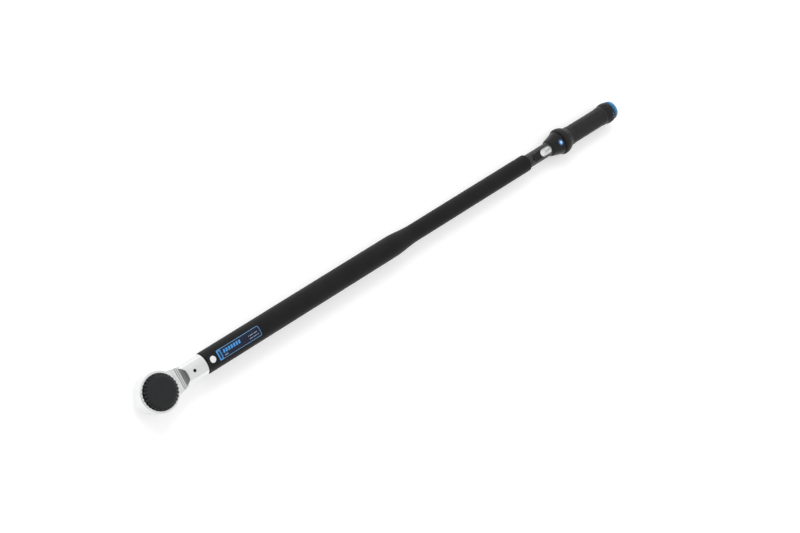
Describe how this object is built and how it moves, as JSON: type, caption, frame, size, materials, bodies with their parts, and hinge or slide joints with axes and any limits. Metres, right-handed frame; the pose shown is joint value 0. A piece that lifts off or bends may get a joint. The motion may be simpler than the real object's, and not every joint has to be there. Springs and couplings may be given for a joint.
{
  "type": "torque wrench",
  "caption": "Long click-type torque wrench: reversible ratchet head with a square drive, stepped tube, window scale, turning grip and a pull-out lock knob.",
  "frame": {"origin": "where the drive axis crosses the axis of the tube", "axes": "+X along the tube from the drive to the grip, +Z along the drive axis towards the selector dial, so the square points along -Z"},
  "size_m": [1.1729, 0.0726, 0.0728],
  "materials": {
    "head_chrome": "satin chrome plating on a forged head",
    "tool_steel": "machined and hardened steel",
    "drive_steel": "chromed drive square",
    "pin_steel": "ground pin, bright end",
    "spring_steel": "oil-tempered spring wire",
    "tube_black": "satin black powder coat",
    "neck_black": "fine satin black coat",
    "housing_black": "moulded black plastic with fine texture",
    "dial_black": "moulded black plastic, fluted rim",
    "grip_black": "soft black grip moulding",
    "grip_hard": "hard black grip moulding",
    "core_plastic": "glass-filled plastic core",
    "knob_blue": "bright blue moulded plastic",
    "label_foil": "thin printed foil, dark with a light blue border",
    "scale_white": "white printed scale strip",
    "lens_clear": "clear window",
    "bronze": "bearing bronze",
    "seal_rubber": "black seal rubber"
  },
  "bodies": {
    "tube": {"main_tube": "tube_black", "pivot_pin": "pin_steel", "label_plate": "label_foil", "handle_tube": "neck_black", "window_bezel": "housing_black", "window_lens": "lens_clear", "cone_housing": "housing_black", "marker_inlay": "knob_blue", "neck_screws": "tool_steel", "wiper_ring": "seal_rubber", "bearing_plug": "tool_steel", "thrust_race_rear": "tool_steel", "thrust_balls": "tool_steel", "main_spring": "spring_steel"},
    "head": {"head_body": "head_chrome", "lever_bar": "tool_steel", "lever_pin": "spring_steel", "cover_plate": "tool_steel", "cover_circlip": "spring_steel", "pawl_pin": "tool_steel", "thrust_washer": "bronze"},
    "drive": {"ratchet_wheel": "tool_steel", "drive_square": "drive_steel", "drive_clip": "spring_steel", "ball_spring": "spring_steel"},
    "ball": {"retaining_ball": "pin_steel"},
    "selector": {"selector_dial": "dial_black", "selector_pin": "tool_steel", "selector_clip": "spring_steel"},
    "pawl": {"reversing_pawl": "tool_steel"},
    "toggle": {"toggle_block": "tool_steel"},
    "plunger": {"plunger": "tool_steel"},
    "carriage": {"spring_seat": "tool_steel", "push_tube": "tool_steel", "adjusting_nut": "bronze", "scale_strip": "scale_white"},
    "grip": {"spindle": "tool_steel", "thrust_race_front": "tool_steel", "grip_bushes": "bronze", "grip_core": "core_plastic", "grip_collar": "grip_hard", "grip_cover": "grip_black", "grip_end_ring": "grip_hard", "spindle_nut": "tool_steel"},
    "lock": {"lock_knob": "knob_blue", "lock_sleeve": "core_plastic", "lock_detent": "spring_steel", "knob_screw": "tool_steel"}
  },
  "joints": [
    {"name": "head_swing", "type": "hinge", "parent": "tube", "child": "head", "pos_m": [0.1115, 0, 0], "axis": [0, 0, 1], "range_deg": [0, 3], "stiffness_Nm_per_rad": 100},
    {"name": "drive_spin", "type": "hinge", "parent": "head", "child": "drive", "pos_m": [0, 0, 0], "axis": [0, 0, 1], "continuous": true},
    {"name": "ball_press", "type": "slide", "parent": "drive", "child": "ball", "axis": [1, 0, 0], "range_m": [0, 0.0009], "stiffness_N_per_m": 300, "deforming": ["ball_spring"]},
    {"name": "selector_turn", "type": "hinge", "parent": "head", "child": "selector", "pos_m": [0, 0, 0.02], "axis": [0, 0, 1], "range_deg": [-40, 0]},
    {"name": "pawl_rock", "type": "hinge", "parent": "head", "child": "pawl", "pos_m": [0.025, 0, 0], "axis": [0, 0, 1], "range_deg": [-12, 0]},
    {"name": "plunger_slide", "type": "slide", "parent": "tube", "child": "plunger", "axis": [1, 0, 0], "range_m": [0, 0.0022], "deforming": ["main_spring"]},
    {"name": "block_tilt", "type": "hinge", "parent": "plunger", "child": "toggle", "pos_m": [0.20425, 0.005, 0], "axis": [0, 0, 1], "range_deg": [-15, 0]},
    {"name": "grip_turn", "type": "hinge", "parent": "tube", "child": "grip", "pos_m": [1.05, 0, 0], "axis": [-1, 0, 0], "range_deg": [0, 7200]},
    {"name": "seat_travel", "type": "slide", "parent": "tube", "child": "carriage", "axis": [-1, 0, 0], "range_m": [0, 0.04], "deforming": ["main_spring"]},
    {"name": "knob_pull", "type": "slide", "parent": "grip", "child": "lock", "axis": [1, 0, 0], "range_m": [0, 0.006]}
  ],
  "couplings": [
    {"joint": "pawl_rock", "follows": "selector_turn", "ratio": 0.3},
    {"joint": "block_tilt", "follows": "head_swing", "ratio": -5},
    {"joint": "plunger_slide", "follows": "head_swing", "m_per_rad": 0.0403},
    {"joint": "grip_turn", "follows": "seat_travel", "rad_per_m": 3141.6}
  ]
}
